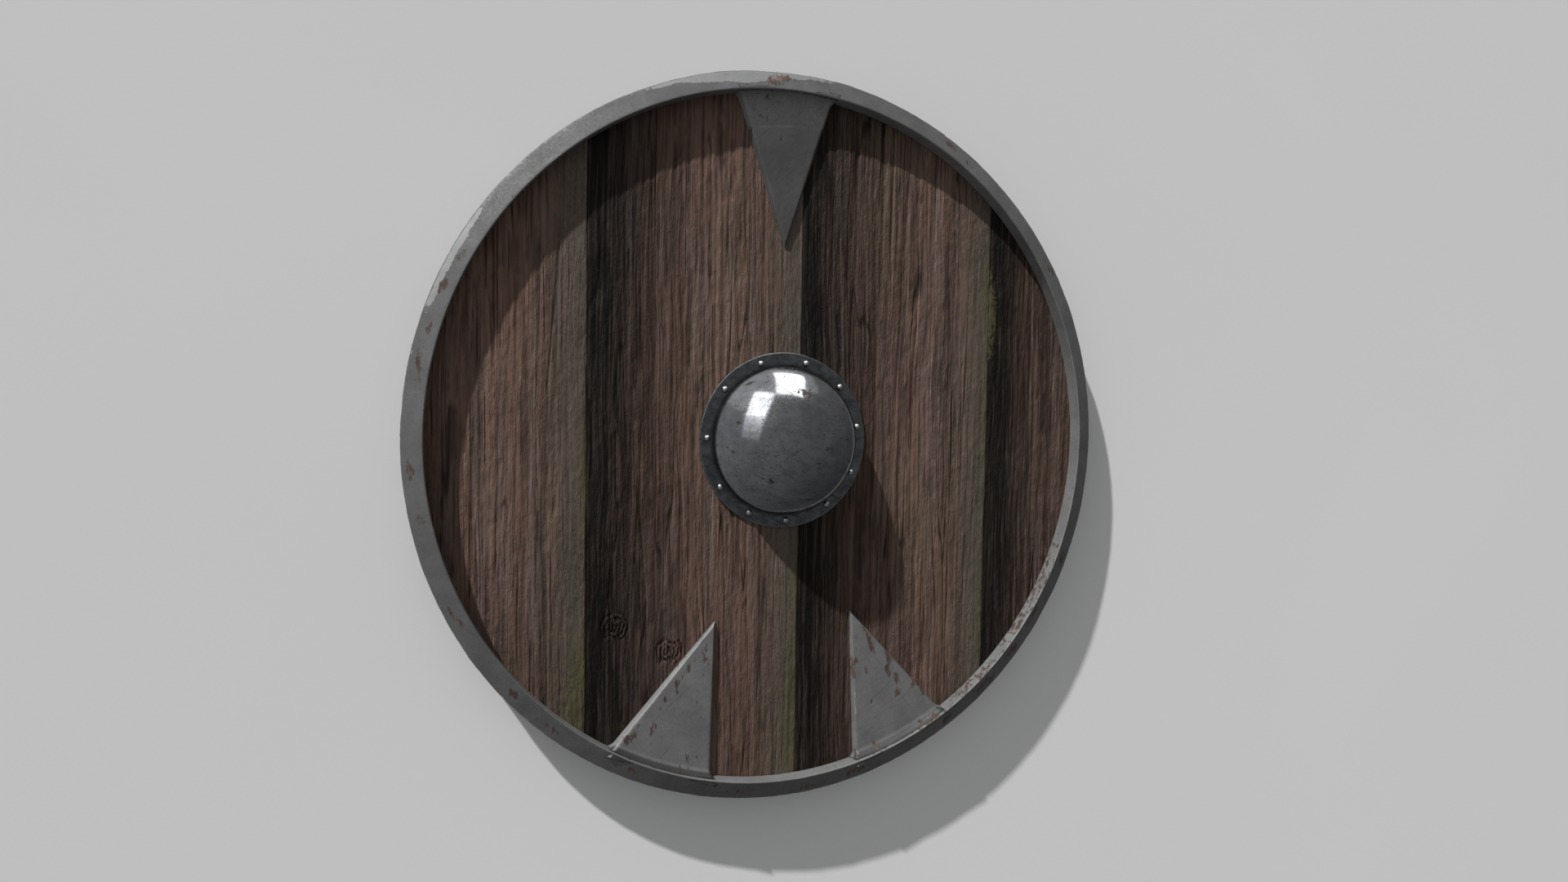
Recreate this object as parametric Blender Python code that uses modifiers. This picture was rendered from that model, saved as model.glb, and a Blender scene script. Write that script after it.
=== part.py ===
"""A wooden round shield: four boards in a steel rim with three wedges, a domed boss and a grip.

It lies on its back, in metres. +Z points out of its face and +Y towards the wedge at its top. A bearing is
an angle in degrees, clockwise from +Y as seen from the front.
"""

from math import asin, cos, pi, radians, sin, sqrt

import bmesh
import bpy
from mathutils import Matrix

# Clearances
FIT_GAP = 0.0003
SHANK_CLEARANCE = 0.0003
PLANK_GAP = 0.0005
PLANK_EDGE_CLEARANCE = 0.0005
RIM_LIP_CLEARANCE = 0.0007
GRIP_GROUND_GAP = 0.003
GRIP_RIM_CLEARANCE = 0.039

# Rim: sheet steel, folded around the boards' edge
OUTER_RADIUS = 0.400
RIM_WIDTH = 0.021
RIM_SHEET = 0.002
RIM_FALL = 0.0088
RIM_ROUND = 0.0015
RECESS_DEPTH = 0.0195

# Wedges: each one's bearing and half its width where it meets the rim
WEDGES = ((-0.7, 0.0555), (157.0, 0.0605), (201.4, 0.0600))
WEDGE_TIP_RADIUS = 0.2135
WEDGE_TIP_WIDTH = 0.0012
WEDGE_TIP_HEIGHT = 0.0035
WEDGE_BASE_HEIGHT = 0.0065
WEDGE_FILLET = 0.009
WEDGE_SIDE_RUN = 0.8

# Boards
PLANK_THICKNESS = 0.010
SEAMS_X = (-0.2187, 0.0194, 0.2600)

# Boss: sheet steel
DOME_RADIUS = 0.081
DOME_HEIGHT = 0.070
FLANGE_WIDTH = 0.0167
BOSS_SHEET = 0.002
BOSS_FILLET = 0.0025
HAND_HOLE_INSET = 0.013

# Boss rivets, punched by eye, so not quite evenly spaced
RIVET_BEARINGS = (-18.8, 15.9, 47.5, 80.1, 114.2, 144.1, 178.0, 206.9, 235.5, 271.9, 308.8)
RIVET_HEAD_RADIUS = 0.0038
RIVET_HEAD_HEIGHT = 0.0030
RIVET_SHANK_RADIUS = 0.0020
RIVET_TAIL_RADIUS = 0.0034
RIVET_TAIL_HEIGHT = 0.0014

# Grip: widths are across the bar, which reaches to its clearance from the rim
GRIP_DEPTH = 0.017
GRIP_HANDLE_WIDTH = 0.030
GRIP_SHOULDER_WIDTH = 0.046
GRIP_END_WIDTH = 0.028
GRIP_EDGE_ROUND = 0.003
GRIP_SHOULDER_RUN = 0.028

# Grip nails, in a row from each end of the bar
NAILS_PER_END = 3
NAIL_END_DISTANCE = 0.025
NAIL_PITCH = 0.038
NAIL_SHANK_RADIUS = 0.0015
NAIL_HEAD_RADIUS = 0.0042
NAIL_HEAD_FACE_RADIUS = 0.0034
NAIL_HEAD_HEIGHT = 0.0012
NAIL_SKIN = 0.0025

# Facets
RIM_SEGMENTS = 88
BOSS_SEGMENTS = 40
SHANK_SEGMENTS = 10
ARC_STEPS = 3
DOME_STEPS = 7
GRIP_SHOULDER_STEPS = 6
GRIP_END_STEPS = 8
SHARP_ANGLE = 35

# Places that follow from the sizes
CREST_RADIUS = OUTER_RADIUS - RIM_WIDTH
GRIP_BACK_Z = GRIP_GROUND_GAP
PLANK_BACK_Z = GRIP_BACK_Z + GRIP_DEPTH + FIT_GAP
PLANK_FRONT_Z = PLANK_BACK_Z + PLANK_THICKNESS
CREST_Z = PLANK_FRONT_Z + RECESS_DEPTH
SHOULDER_Z = CREST_Z - RIM_FALL
PLANK_RADIUS = OUTER_RADIUS - RIM_SHEET - PLANK_EDGE_CLEARANCE
WEDGE_BOTTOM_Z = PLANK_FRONT_Z + FIT_GAP
FLANGE_BOTTOM_Z = PLANK_FRONT_Z + FIT_GAP
FLANGE_TOP_Z = FLANGE_BOTTOM_Z + BOSS_SHEET
FLANGE_RADIUS = DOME_RADIUS + FLANGE_WIDTH
HAND_HOLE_RADIUS = DOME_RADIUS - BOSS_SHEET - HAND_HOLE_INSET
RIVET_CIRCLE = DOME_RADIUS + FLANGE_WIDTH / 2
GRIP_HALF_LENGTH = CREST_RADIUS - GRIP_RIM_CLEARANCE
CUT_MARGIN = 0.005


def clear_scene():
    for obj in list(bpy.data.objects):
        bpy.data.objects.remove(obj, do_unlink=True)


def new_collection(name):
    made = bpy.data.collections.new(name)
    bpy.context.scene.collection.children.link(made)
    return made


def steel(name, colour, roughness):
    return material(name, colour, roughness, metallic=1.0)


def material(name, colour, roughness, metallic=0.0):
    made = bpy.data.materials.new(name)
    made.use_nodes = True
    shader = made.node_tree.nodes["Principled BSDF"]
    shader.inputs["Base Color"].default_value = (*colour, 1.0)
    shader.inputs["Roughness"].default_value = roughness
    shader.inputs["Metallic"].default_value = metallic
    return made


def add_piece(name, mesh, look):
    piece = bpy.data.objects.new(name, mesh)
    if not mesh.materials:
        mesh.materials.append(look)
    shield.objects.link(piece)
    return piece


def add_cutter(name, mesh):
    cutter = bpy.data.objects.new(name, mesh)
    cutter.hide_render = True
    cutter.display_type = "WIRE"
    cutters.objects.link(cutter)
    return cutter


def cut(piece, cutter, operation="DIFFERENCE"):
    modifier = piece.modifiers.new(cutter.name, "BOOLEAN")
    modifier.operation = operation
    modifier.object = cutter


def mesh_of(bm, name):
    bmesh.ops.recalc_face_normals(bm, faces=bm.faces)
    mesh = bpy.data.meshes.new(name)
    bm.to_mesh(mesh)
    bm.free()
    return mesh


def evaluated_mesh(obj):
    """The object's mesh with its modifiers applied. The object itself is removed."""
    bpy.context.view_layer.update()
    graph = bpy.context.evaluated_depsgraph_get()
    mesh = bpy.data.meshes.new_from_object(obj.evaluated_get(graph))
    bpy.data.objects.remove(obj, do_unlink=True)
    return mesh


def turned(name, profile, segments, ring=False):
    """The (radius, z) profile, turned about Z. A ring's profile is closed and stays off the axis."""
    bm = bmesh.new()
    points = [bm.verts.new((radius, 0, z)) for radius, z in profile]
    for first, second in zip(points, points[1:] + points[:1] if ring else points[1:]):
        bm.edges.new((first, second))
    outline = bpy.data.meshes.new(name)
    bm.to_mesh(outline)
    bm.free()
    obj = bpy.data.objects.new(name, outline)
    bpy.context.scene.collection.objects.link(obj)
    screw = obj.modifiers.new("turn", "SCREW")
    screw.steps = screw.render_steps = segments
    screw.use_merge_vertices = True
    screw.merge_threshold = 0.0001
    mesh = evaluated_mesh(obj)
    mesh.name = name
    mesh.shade_smooth()
    mesh.set_sharp_from_angle(angle=radians(SHARP_ANGLE))
    return mesh


def arc(centre_r, centre_z, radius, start, end, steps, height=None):
    """Points from one angle to another, in degrees from +r towards +Z. A height makes it an ellipse's."""
    height = radius if height is None else height
    angles = [radians(start + (end - start) * step / steps) for step in range(steps + 1)]
    return [(centre_r + radius * cos(angle), centre_z + height * sin(angle)) for angle in angles]


def cylinder(bm, radius, bottom, top, x=0.0, y=0.0, segments=SHANK_SEGMENTS):
    place = Matrix.Translation((x, y, (bottom + top) / 2))
    bmesh.ops.create_cone(
        bm, cap_ends=True, segments=segments, radius1=radius, radius2=radius, depth=top - bottom, matrix=place
    )


def at_bearing(radius, bearing):
    return radius * sin(radians(bearing)), radius * cos(radians(bearing))


def rim_mesh():
    """A folded channel that the boards' edge enters: front and back walls, a sloping front and a flat back."""
    outer, inner = OUTER_RADIUS, CREST_RADIUS
    front_z, back_z = PLANK_FRONT_Z + RIM_LIP_CLEARANCE, PLANK_BACK_Z - FIT_GAP
    slope = RIM_FALL / RIM_WIDTH
    outside = [
        (inner, front_z),
        (inner, CREST_Z - RIM_ROUND),
        (inner + RIM_ROUND / 3, CREST_Z - RIM_ROUND / 3),
        (inner + RIM_ROUND, CREST_Z - RIM_ROUND * slope),
        (outer - RIM_ROUND, SHOULDER_Z + RIM_ROUND * slope),
        (outer, SHOULDER_Z - RIM_ROUND / 2),
        (outer, RIM_ROUND),
        (outer - RIM_ROUND, 0.0),
        (inner + RIM_ROUND, 0.0),
        (inner, RIM_ROUND),
        (inner, back_z),
    ]
    inside = [
        (inner + RIM_SHEET, back_z),
        (inner + RIM_SHEET, RIM_SHEET),
        (outer - RIM_SHEET, RIM_SHEET),
        (outer - RIM_SHEET, SHOULDER_Z - RIM_SHEET),
        (inner + RIM_SHEET, CREST_Z - RIM_SHEET * (1 + slope)),
        (inner + RIM_SHEET, front_z),
    ]
    return turned("rim", outside + inside, RIM_SEGMENTS, ring=True)


def wedge_blank_mesh(half_width):
    """A long triangular block with leaning sides, from the tip to inside the rim's wall."""
    tip_y, tip_half = WEDGE_TIP_RADIUS, WEDGE_TIP_WIDTH / 2
    corner_y = sqrt(CREST_RADIUS**2 - half_width**2)
    spread = (half_width - tip_half) / (corner_y - tip_y)
    lean_angle = asin(spread / sqrt(1 + spread**2))
    end_y = CREST_RADIUS + RIM_SHEET
    end_half = tip_half + spread * (end_y - tip_y)
    height = RECESS_DEPTH
    run = WEDGE_SIDE_RUN * height
    bm = bmesh.new()
    bmesh.ops.create_cube(bm, size=2.0)
    for vert in bm.verts:
        side, end, level = vert.co
        if level < 0:
            half, y = (end_half, end_y) if end > 0 else (tip_half, tip_y)
        elif end > 0:
            half, y = end_half - run / cos(lean_angle), end_y
        else:
            half, y = tip_half, tip_y + run / sin(lean_angle)
        vert.co = (side * half, y, WEDGE_BOTTOM_Z + (height if level > 0 else 0.0))
    return mesh_of(bm, "wedge_blank")


def wedge_top_mesh():
    """A turned ring whose upper side is the wedges' face: it rises to the rim and rounds up into its wall."""
    fillet = min(WEDGE_FILLET, RECESS_DEPTH - WEDGE_BASE_HEIGHT - RIM_ROUND)
    start = WEDGE_TIP_RADIUS - CUT_MARGIN
    outer = CREST_RADIUS + RIM_SHEET / 2
    base_z = WEDGE_BOTTOM_Z + WEDGE_BASE_HEIGHT
    # The rounding ends inside the wall, so that it crosses the wall's face instead of only touching it.
    round_end = CREST_RADIUS + RIM_SHEET / 4
    round_up = arc(round_end - fillet, base_z + fillet, fillet, -90, 0, 2 * ARC_STEPS)
    bottom = WEDGE_BOTTOM_Z - CUT_MARGIN
    profile = [(start, bottom), (start, WEDGE_BOTTOM_Z + WEDGE_TIP_HEIGHT)] + round_up
    profile += [(outer, base_z + fillet), (outer, bottom)]
    return turned("wedge_top", profile, RIM_SEGMENTS, ring=True)


def build_rim(look):
    rim = add_piece("rim", rim_mesh(), look)
    wedge_top = add_cutter("wedge_top", wedge_top_mesh())
    for number, (bearing, half_width) in enumerate(WEDGES, 1):
        wedge = add_cutter(f"wedge_{number}", wedge_blank_mesh(half_width))
        wedge.rotation_euler.z = -radians(bearing)
        cut(wedge, wedge_top, "INTERSECT")
        cut(rim, wedge, "UNION")


def rivet_places():
    return [at_bearing(RIVET_CIRCLE, bearing) for bearing in RIVET_BEARINGS]


def nail_places():
    outer = GRIP_HALF_LENGTH - NAIL_END_DISTANCE
    return sorted(side * (outer - step * NAIL_PITCH) for side in (-1, 1) for step in range(NAILS_PER_END))


def build_hole_cutters():
    """The hand hole, the rivets' holes through everything, and the nails' holes, blind in the boards."""
    bm = bmesh.new()
    cylinder(bm, HAND_HOLE_RADIUS, PLANK_BACK_Z - CUT_MARGIN, PLANK_FRONT_Z + CUT_MARGIN, segments=BOSS_SEGMENTS)
    hand_hole = add_cutter("hand_hole", mesh_of(bm, "hand_hole"))
    bm = bmesh.new()
    for x, y in rivet_places():
        cylinder(bm, RIVET_SHANK_RADIUS + SHANK_CLEARANCE, -CUT_MARGIN, FLANGE_TOP_Z + CUT_MARGIN, x, y)
    rivet_holes = add_cutter("rivet_holes", mesh_of(bm, "rivet_holes"))
    bm = bmesh.new()
    for x in nail_places():
        cylinder(bm, NAIL_SHANK_RADIUS + SHANK_CLEARANCE, -CUT_MARGIN, PLANK_FRONT_Z - NAIL_SKIN + FIT_GAP, x)
    nail_holes = add_cutter("nail_holes", mesh_of(bm, "nail_holes"))
    return hand_hole, rivet_holes, nail_holes


def build_planks(look, holes):
    bm = bmesh.new()
    cylinder(
        bm, PLANK_RADIUS, PLANK_BACK_Z - CUT_MARGIN, PLANK_FRONT_Z + CUT_MARGIN, segments=RIM_SEGMENTS
    )
    disc = add_cutter("plank_disc", mesh_of(bm, "plank_disc"))
    edges = (-OUTER_RADIUS, *SEAMS_X, OUTER_RADIUS)
    for number, (left, right) in enumerate(zip(edges, edges[1:]), 1):
        width = right - left - PLANK_GAP
        size = Matrix.Diagonal((width, 2 * OUTER_RADIUS, PLANK_THICKNESS, 1))
        place = Matrix.Translation(((left + right) / 2, 0, PLANK_BACK_Z + PLANK_THICKNESS / 2))
        bm = bmesh.new()
        bmesh.ops.create_cube(bm, size=1.0, matrix=place @ size)
        plank = add_piece(f"plank_{number}", mesh_of(bm, "plank"), look)
        cut(plank, disc, "INTERSECT")
        for hole in holes:
            cut(plank, hole)


def build_boss(look, rivet_holes):
    """A domed shell with a flat flange, open at the back for the hand."""
    inner_radius, inner_height = DOME_RADIUS - BOSS_SHEET, DOME_HEIGHT - BOSS_SHEET
    # The dome's outline stops where the fillet starts, and its inside goes down to the flange's underside.
    fillet_angle = asin(BOSS_FILLET / DOME_HEIGHT) * 180 / pi
    outside = arc(0, FLANGE_TOP_Z, DOME_RADIUS, 90, fillet_angle, DOME_STEPS, DOME_HEIGHT)
    wall_radius = outside[-1][0]
    outside += arc(wall_radius + BOSS_FILLET, FLANGE_TOP_Z + BOSS_FILLET, BOSS_FILLET, 180, 270, ARC_STEPS)[1:]
    edge = BOSS_SHEET / 4
    outside += [(FLANGE_RADIUS - edge, FLANGE_TOP_Z), (FLANGE_RADIUS, FLANGE_TOP_Z - edge)]
    outside += [(FLANGE_RADIUS, FLANGE_BOTTOM_Z)]
    inside = [(inner_radius, FLANGE_BOTTOM_Z)]
    inside += arc(0, FLANGE_TOP_Z, inner_radius, 0, 90, DOME_STEPS, inner_height)
    boss = add_piece("boss", turned("boss", outside + inside, BOSS_SEGMENTS), look)
    cut(boss, rivet_holes)


def grip_half_width(x):
    """Half the bar's width at x: narrow in the hand, wide at the shoulders beside the hole, tapered out."""
    x = abs(x)
    if x < RIVET_CIRCLE:
        share = max(0.0, min(1.0, 1 - (HAND_HOLE_RADIUS - x) / GRIP_SHOULDER_RUN))
        share = share * share * (3 - 2 * share)
        return (GRIP_HANDLE_WIDTH + share * (GRIP_SHOULDER_WIDTH - GRIP_HANDLE_WIDTH)) / 2
    flat_end = RIVET_CIRCLE + RIVET_TAIL_RADIUS * 2
    share = max(0.0, (x - flat_end) / (GRIP_HALF_LENGTH - flat_end))
    return (GRIP_SHOULDER_WIDTH + share * (GRIP_END_WIDTH - GRIP_SHOULDER_WIDTH)) / 2


def grip_outline():
    """One side's points from the middle of one end to the other's, then back along the other side."""
    end_round = GRIP_END_WIDTH / 2
    straight = GRIP_HALF_LENGTH - end_round
    shoulder = HAND_HOLE_RADIUS - GRIP_SHOULDER_RUN
    shares = [step / GRIP_SHOULDER_STEPS for step in range(GRIP_SHOULDER_STEPS + 1)]
    stations = [shoulder + GRIP_SHOULDER_RUN * share for share in shares]
    stations += [RIVET_CIRCLE + RIVET_TAIL_RADIUS * 2]
    half = [(x, grip_half_width(x)) for x in stations]
    tip = arc(straight, 0, end_round, 90, -90, GRIP_END_STEPS)
    right = half + tip + [(x, -y) for x, y in reversed(half)]
    return right + [(-x, -y) for x, y in right]


def build_grip(look, rivet_holes, nail_holes):
    outline = bpy.data.curves.new("grip", "CURVE")
    outline.dimensions = "2D"
    outline.fill_mode = "BOTH"
    outline.extrude = GRIP_DEPTH / 2 - GRIP_EDGE_ROUND
    outline.bevel_depth = GRIP_EDGE_ROUND
    outline.bevel_resolution = 1
    outline.offset = -GRIP_EDGE_ROUND
    spline = outline.splines.new("POLY")
    points = grip_outline()
    spline.points.add(len(points) - 1)
    for point, (x, y) in zip(spline.points, points):
        point.co = (x, y, 0, 1)
    spline.use_cyclic_u = True
    shape = bpy.data.objects.new("grip_outline", outline)
    bpy.context.scene.collection.objects.link(shape)
    mesh = evaluated_mesh(shape)
    bm = bmesh.new()
    bm.from_mesh(mesh)
    bmesh.ops.remove_doubles(bm, verts=bm.verts, dist=0.00001)
    bmesh.ops.recalc_face_normals(bm, faces=bm.faces)
    bm.to_mesh(mesh)
    bm.free()
    mesh.materials.clear()
    grip = add_piece("grip", mesh, look)
    grip.location.z = GRIP_BACK_Z + GRIP_DEPTH / 2
    cut(grip, rivet_holes)
    cut(grip, nail_holes)


def rivet_mesh(name, tail_z):
    """A domed head on the flange, a shank, and a tail hammered flat against what it holds."""
    head_z = FLANGE_TOP_Z + FIT_GAP
    profile = arc(0, head_z, RIVET_HEAD_RADIUS, 90, 0, ARC_STEPS, RIVET_HEAD_HEIGHT)
    profile += [
        (RIVET_SHANK_RADIUS, head_z),
        (RIVET_SHANK_RADIUS, tail_z),
        (RIVET_TAIL_RADIUS, tail_z),
        (RIVET_TAIL_RADIUS, tail_z - RIVET_TAIL_HEIGHT),
        (0, tail_z - RIVET_TAIL_HEIGHT),
    ]
    return turned(name, profile, SHANK_SEGMENTS)


def build_rivets(look):
    """Each rivet is clenched on the boards' back, or on the grip's where the bar lies under it."""
    short = rivet_mesh("rivet", PLANK_BACK_Z - FIT_GAP)
    long = rivet_mesh("long_rivet", GRIP_BACK_Z - FIT_GAP)
    for number, (x, y) in enumerate(rivet_places(), 1):
        under_grip = abs(y) < grip_half_width(x)
        rivet = add_piece(f"boss_rivet_{number:02d}", long if under_grip else short, look)
        rivet.location = (x, y, 0)


def build_nails(look):
    head_top = GRIP_BACK_Z - FIT_GAP
    tip = PLANK_FRONT_Z - NAIL_SKIN
    profile = [
        (0, tip),
        (NAIL_SHANK_RADIUS / 3, tip),
        (NAIL_SHANK_RADIUS, tip - 2 * NAIL_SHANK_RADIUS),
        (NAIL_SHANK_RADIUS, head_top),
        (NAIL_HEAD_RADIUS, head_top),
        (NAIL_HEAD_FACE_RADIUS, head_top - NAIL_HEAD_HEIGHT),
        (0, head_top - NAIL_HEAD_HEIGHT),
    ]
    mesh = turned("nail", profile, SHANK_SEGMENTS)
    for number, x in enumerate(nail_places(), 1):
        nail = add_piece(f"grip_nail_{number}", mesh, look)
        nail.location.x = x


clear_scene()
shield = new_collection("round_shield")
cutters = new_collection("cutters")
hand_hole, rivet_holes, nail_holes = build_hole_cutters()
build_planks(material("weathered_boards", (0.095, 0.058, 0.045), 0.75), (hand_hole, rivet_holes, nail_holes))
build_rim(steel("rim_steel", (0.36, 0.36, 0.36), 0.45))
build_boss(steel("boss_steel", (0.17, 0.18, 0.19), 0.25), rivet_holes)
build_grip(material("grip_wood", (0.16, 0.10, 0.06), 0.7), rivet_holes, nail_holes)
build_rivets(steel("rivet_steel", (0.5, 0.5, 0.5), 0.25))
build_nails(steel("nail_iron", (0.2, 0.19, 0.18), 0.5))
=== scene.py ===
from math import asin, atan2, cos, degrees, hypot, pi, radians, sin, sqrt

import bmesh
import bpy
import numpy as np
from mathutils import Matrix, Vector


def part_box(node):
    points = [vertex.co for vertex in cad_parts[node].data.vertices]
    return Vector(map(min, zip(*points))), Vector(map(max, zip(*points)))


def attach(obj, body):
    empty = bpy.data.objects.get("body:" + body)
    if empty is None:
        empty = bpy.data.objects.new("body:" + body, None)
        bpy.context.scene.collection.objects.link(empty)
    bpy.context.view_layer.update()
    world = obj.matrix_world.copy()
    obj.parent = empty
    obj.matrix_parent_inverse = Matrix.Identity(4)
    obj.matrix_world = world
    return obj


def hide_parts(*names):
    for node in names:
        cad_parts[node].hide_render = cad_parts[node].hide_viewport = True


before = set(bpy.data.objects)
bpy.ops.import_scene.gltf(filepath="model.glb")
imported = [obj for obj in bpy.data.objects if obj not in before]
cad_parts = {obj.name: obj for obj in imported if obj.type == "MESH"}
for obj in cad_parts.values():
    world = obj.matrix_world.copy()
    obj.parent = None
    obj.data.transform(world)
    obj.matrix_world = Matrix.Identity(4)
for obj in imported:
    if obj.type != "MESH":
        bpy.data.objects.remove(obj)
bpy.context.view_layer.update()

# Sizes that the CAD part has too, in metres
OUTER_RADIUS = 0.400
CREST_RADIUS = 0.379
CREST_Z = 0.0498
RIM_SHEET = 0.002
RIM_FALL = 0.0088
PLANK_RADIUS = 0.3975
PLANK_BACK_Z = 0.0203
PLANK_FRONT_Z = 0.0303
PLANK_GAP = 0.0005
SEAMS_X = (-0.2187, 0.0194, 0.2600)
WEDGE_BOTTOM_Z = 0.0306
WEDGES = ((-0.7, 0.0555), (157.0, 0.0605), (201.4, 0.0600))
WEDGE_TIP_RADIUS = 0.2135
WEDGE_TIP_WIDTH = 0.0012
WEDGE_TIP_HEIGHT = 0.0035
WEDGE_BASE_HEIGHT = 0.0065
WEDGE_FILLET = 0.009
WEDGE_SIDE_RUN = 0.8
DOME_RADIUS = 0.081
DOME_HEIGHT = 0.070
FLANGE_RADIUS = 0.0977
FLANGE_BOTTOM_Z = 0.0306
BOSS_SHEET = 0.002
FLANGE_TOP_Z = FLANGE_BOTTOM_Z + BOSS_SHEET
HAND_HOLE_RADIUS = 0.066
RIVET_HOLE_RADIUS = 0.0023
NAIL_HOLE_RADIUS = 0.0018

# Fineness of the pieces made here
COLUMN_WIDTH = 0.00085
ROWS = 268
BACK_STEP = 4
RIM_SEGMENTS = 720
BOSS_SEGMENTS = 200
HOLE_SIDES = 20

# The direction that the sun's light comes from
SUN = Vector((-1.76, 2.74, 1.0))


# Repeatable noise

def hashed(seed, i, j):
    """A value from -1 to 1 for each pair of whole numbers."""
    h = i.astype(np.uint32) * np.uint32(374761393) + j.astype(np.uint32) * np.uint32(668265263)
    h = h + np.uint32(seed * 974711 + 13)
    h = (h ^ (h >> np.uint32(13))) * np.uint32(1274126177)
    return ((h ^ (h >> np.uint32(16))) & np.uint32(0xFFFFFF)).astype(float) / 0x7FFFFF - 1


def noise(x, y, seed):
    """Smooth noise from -1 to 1, with one random value for each whole place."""
    x, y = np.broadcast_arrays(np.asarray(x, float), np.asarray(y, float))
    i, j = np.floor(x), np.floor(y)
    u, v = x - i, y - j
    u, v = u * u * (3 - 2 * u), v * v * (3 - 2 * v)
    i, j = i.astype(np.int64), j.astype(np.int64)
    low = hashed(seed, i, j) * (1 - u) + hashed(seed, i + 1, j) * u
    high = hashed(seed, i, j + 1) * (1 - u) + hashed(seed, i + 1, j + 1) * u
    return low * (1 - v) + high * v


def rounded_step(value, start, end):
    """From 0 at the start to 1 at the end. The end may be lower than the start."""
    share = np.clip((value - start) / (end - start), 0, 1)
    return share * share * (3 - 2 * share)


def bell(value, middle, width):
    """1 in the middle, falling away on both sides."""
    return np.exp(-(((value - middle) / width) ** 2))


# Meshes

def arc(centre, radius, start, end, steps):
    angles = [radians(start + (end - start) * step / steps) for step in range(steps + 1)]
    return [(centre[0] + radius * cos(angle), centre[1] + radius * sin(angle)) for angle in angles]


def new_object(name, mesh):
    made = bpy.data.objects.new(name, mesh)
    bpy.context.scene.collection.objects.link(made)
    return made


def new_piece(name, points, faces, attributes):
    """A closed mesh with its faces turned outwards, and one number for each point under each attribute."""
    mesh = bpy.data.meshes.new(name)
    mesh.from_pydata(points, [], faces)
    for key, values in attributes.items():
        layer = mesh.attributes.new(key, "FLOAT", "POINT")
        layer.data.foreach_set("value", np.asarray(values, np.float32))
    bm = bmesh.new()
    bm.from_mesh(mesh)
    bmesh.ops.recalc_face_normals(bm, faces=bm.faces)
    bm.to_mesh(mesh)
    bm.free()
    return new_object(name, mesh)


def grid_faces(rows, columns, wrap=False):
    """Faces of a grid of points that run row by row. With wrap, the last column joins the first."""
    faces = []
    for row in range(rows - 1):
        for column in range(columns if wrap else columns - 1):
            a = row * columns + column
            b = row * columns + (column + 1) % columns
            faces.append((a, b, b + columns, a + columns))
    return faces


def combine(piece, others, operation):
    """Cuts the others out of the piece or joins them to it, and removes them."""
    for other in others:
        modifier = piece.modifiers.new(other.name, "BOOLEAN")
        modifier.operation = operation
        modifier.solver = "MANIFOLD"
        modifier.object = other
    bpy.context.view_layer.update()
    graph = bpy.context.evaluated_depsgraph_get()
    mesh = bpy.data.meshes.new_from_object(piece.evaluated_get(graph))
    piece.modifiers.clear()
    piece.data = mesh
    for other in others:
        bpy.data.objects.remove(other, do_unlink=True)


def node_centres(start):
    """The middle, in plan, of each CAD node whose name starts so."""
    found = []
    for name in sorted(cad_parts):
        if name.startswith(start):
            low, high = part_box(name)
            found.append(((low.x + high.x) / 2, (low.y + high.y) / 2))
    return found


def drill(name, holes, bottom):
    """Cylinders that cut holes. Each has its middle in plan, its radius, its number of sides and its top."""
    bm = bmesh.new()
    for x, y, radius, sides, top in holes:
        middle = Matrix.Translation((x, y, (top + bottom) / 2))
        bmesh.ops.create_cone(bm, cap_ends=True, segments=sides, radius1=radius, radius2=radius,
                              depth=top - bottom, matrix=middle)
    mesh = bpy.data.meshes.new(name)
    bm.to_mesh(mesh)
    bm.free()
    return new_object(name, mesh)


def finish_piece(piece, look, node, sharp_angle):
    """Smooths the piece, gives it its look and slot, and puts it in the CAD node's place."""
    piece.data.shade_smooth()
    piece.data.set_sharp_from_angle(angle=radians(sharp_angle))
    piece.data.materials.clear()
    piece.data.materials.append(look)
    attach(piece, "root")
    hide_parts(node)


# Materials

def add_node(tree, kind, inputs=None, **settings):
    made = tree.nodes.new("ShaderNode" + kind)
    for key, value in settings.items():
        setattr(made, key, value)
    for key, value in (inputs or {}).items():
        if isinstance(value, bpy.types.NodeSocket):
            tree.links.new(value, made.inputs[key])
        else:
            made.inputs[key].default_value = value
    return made


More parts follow.
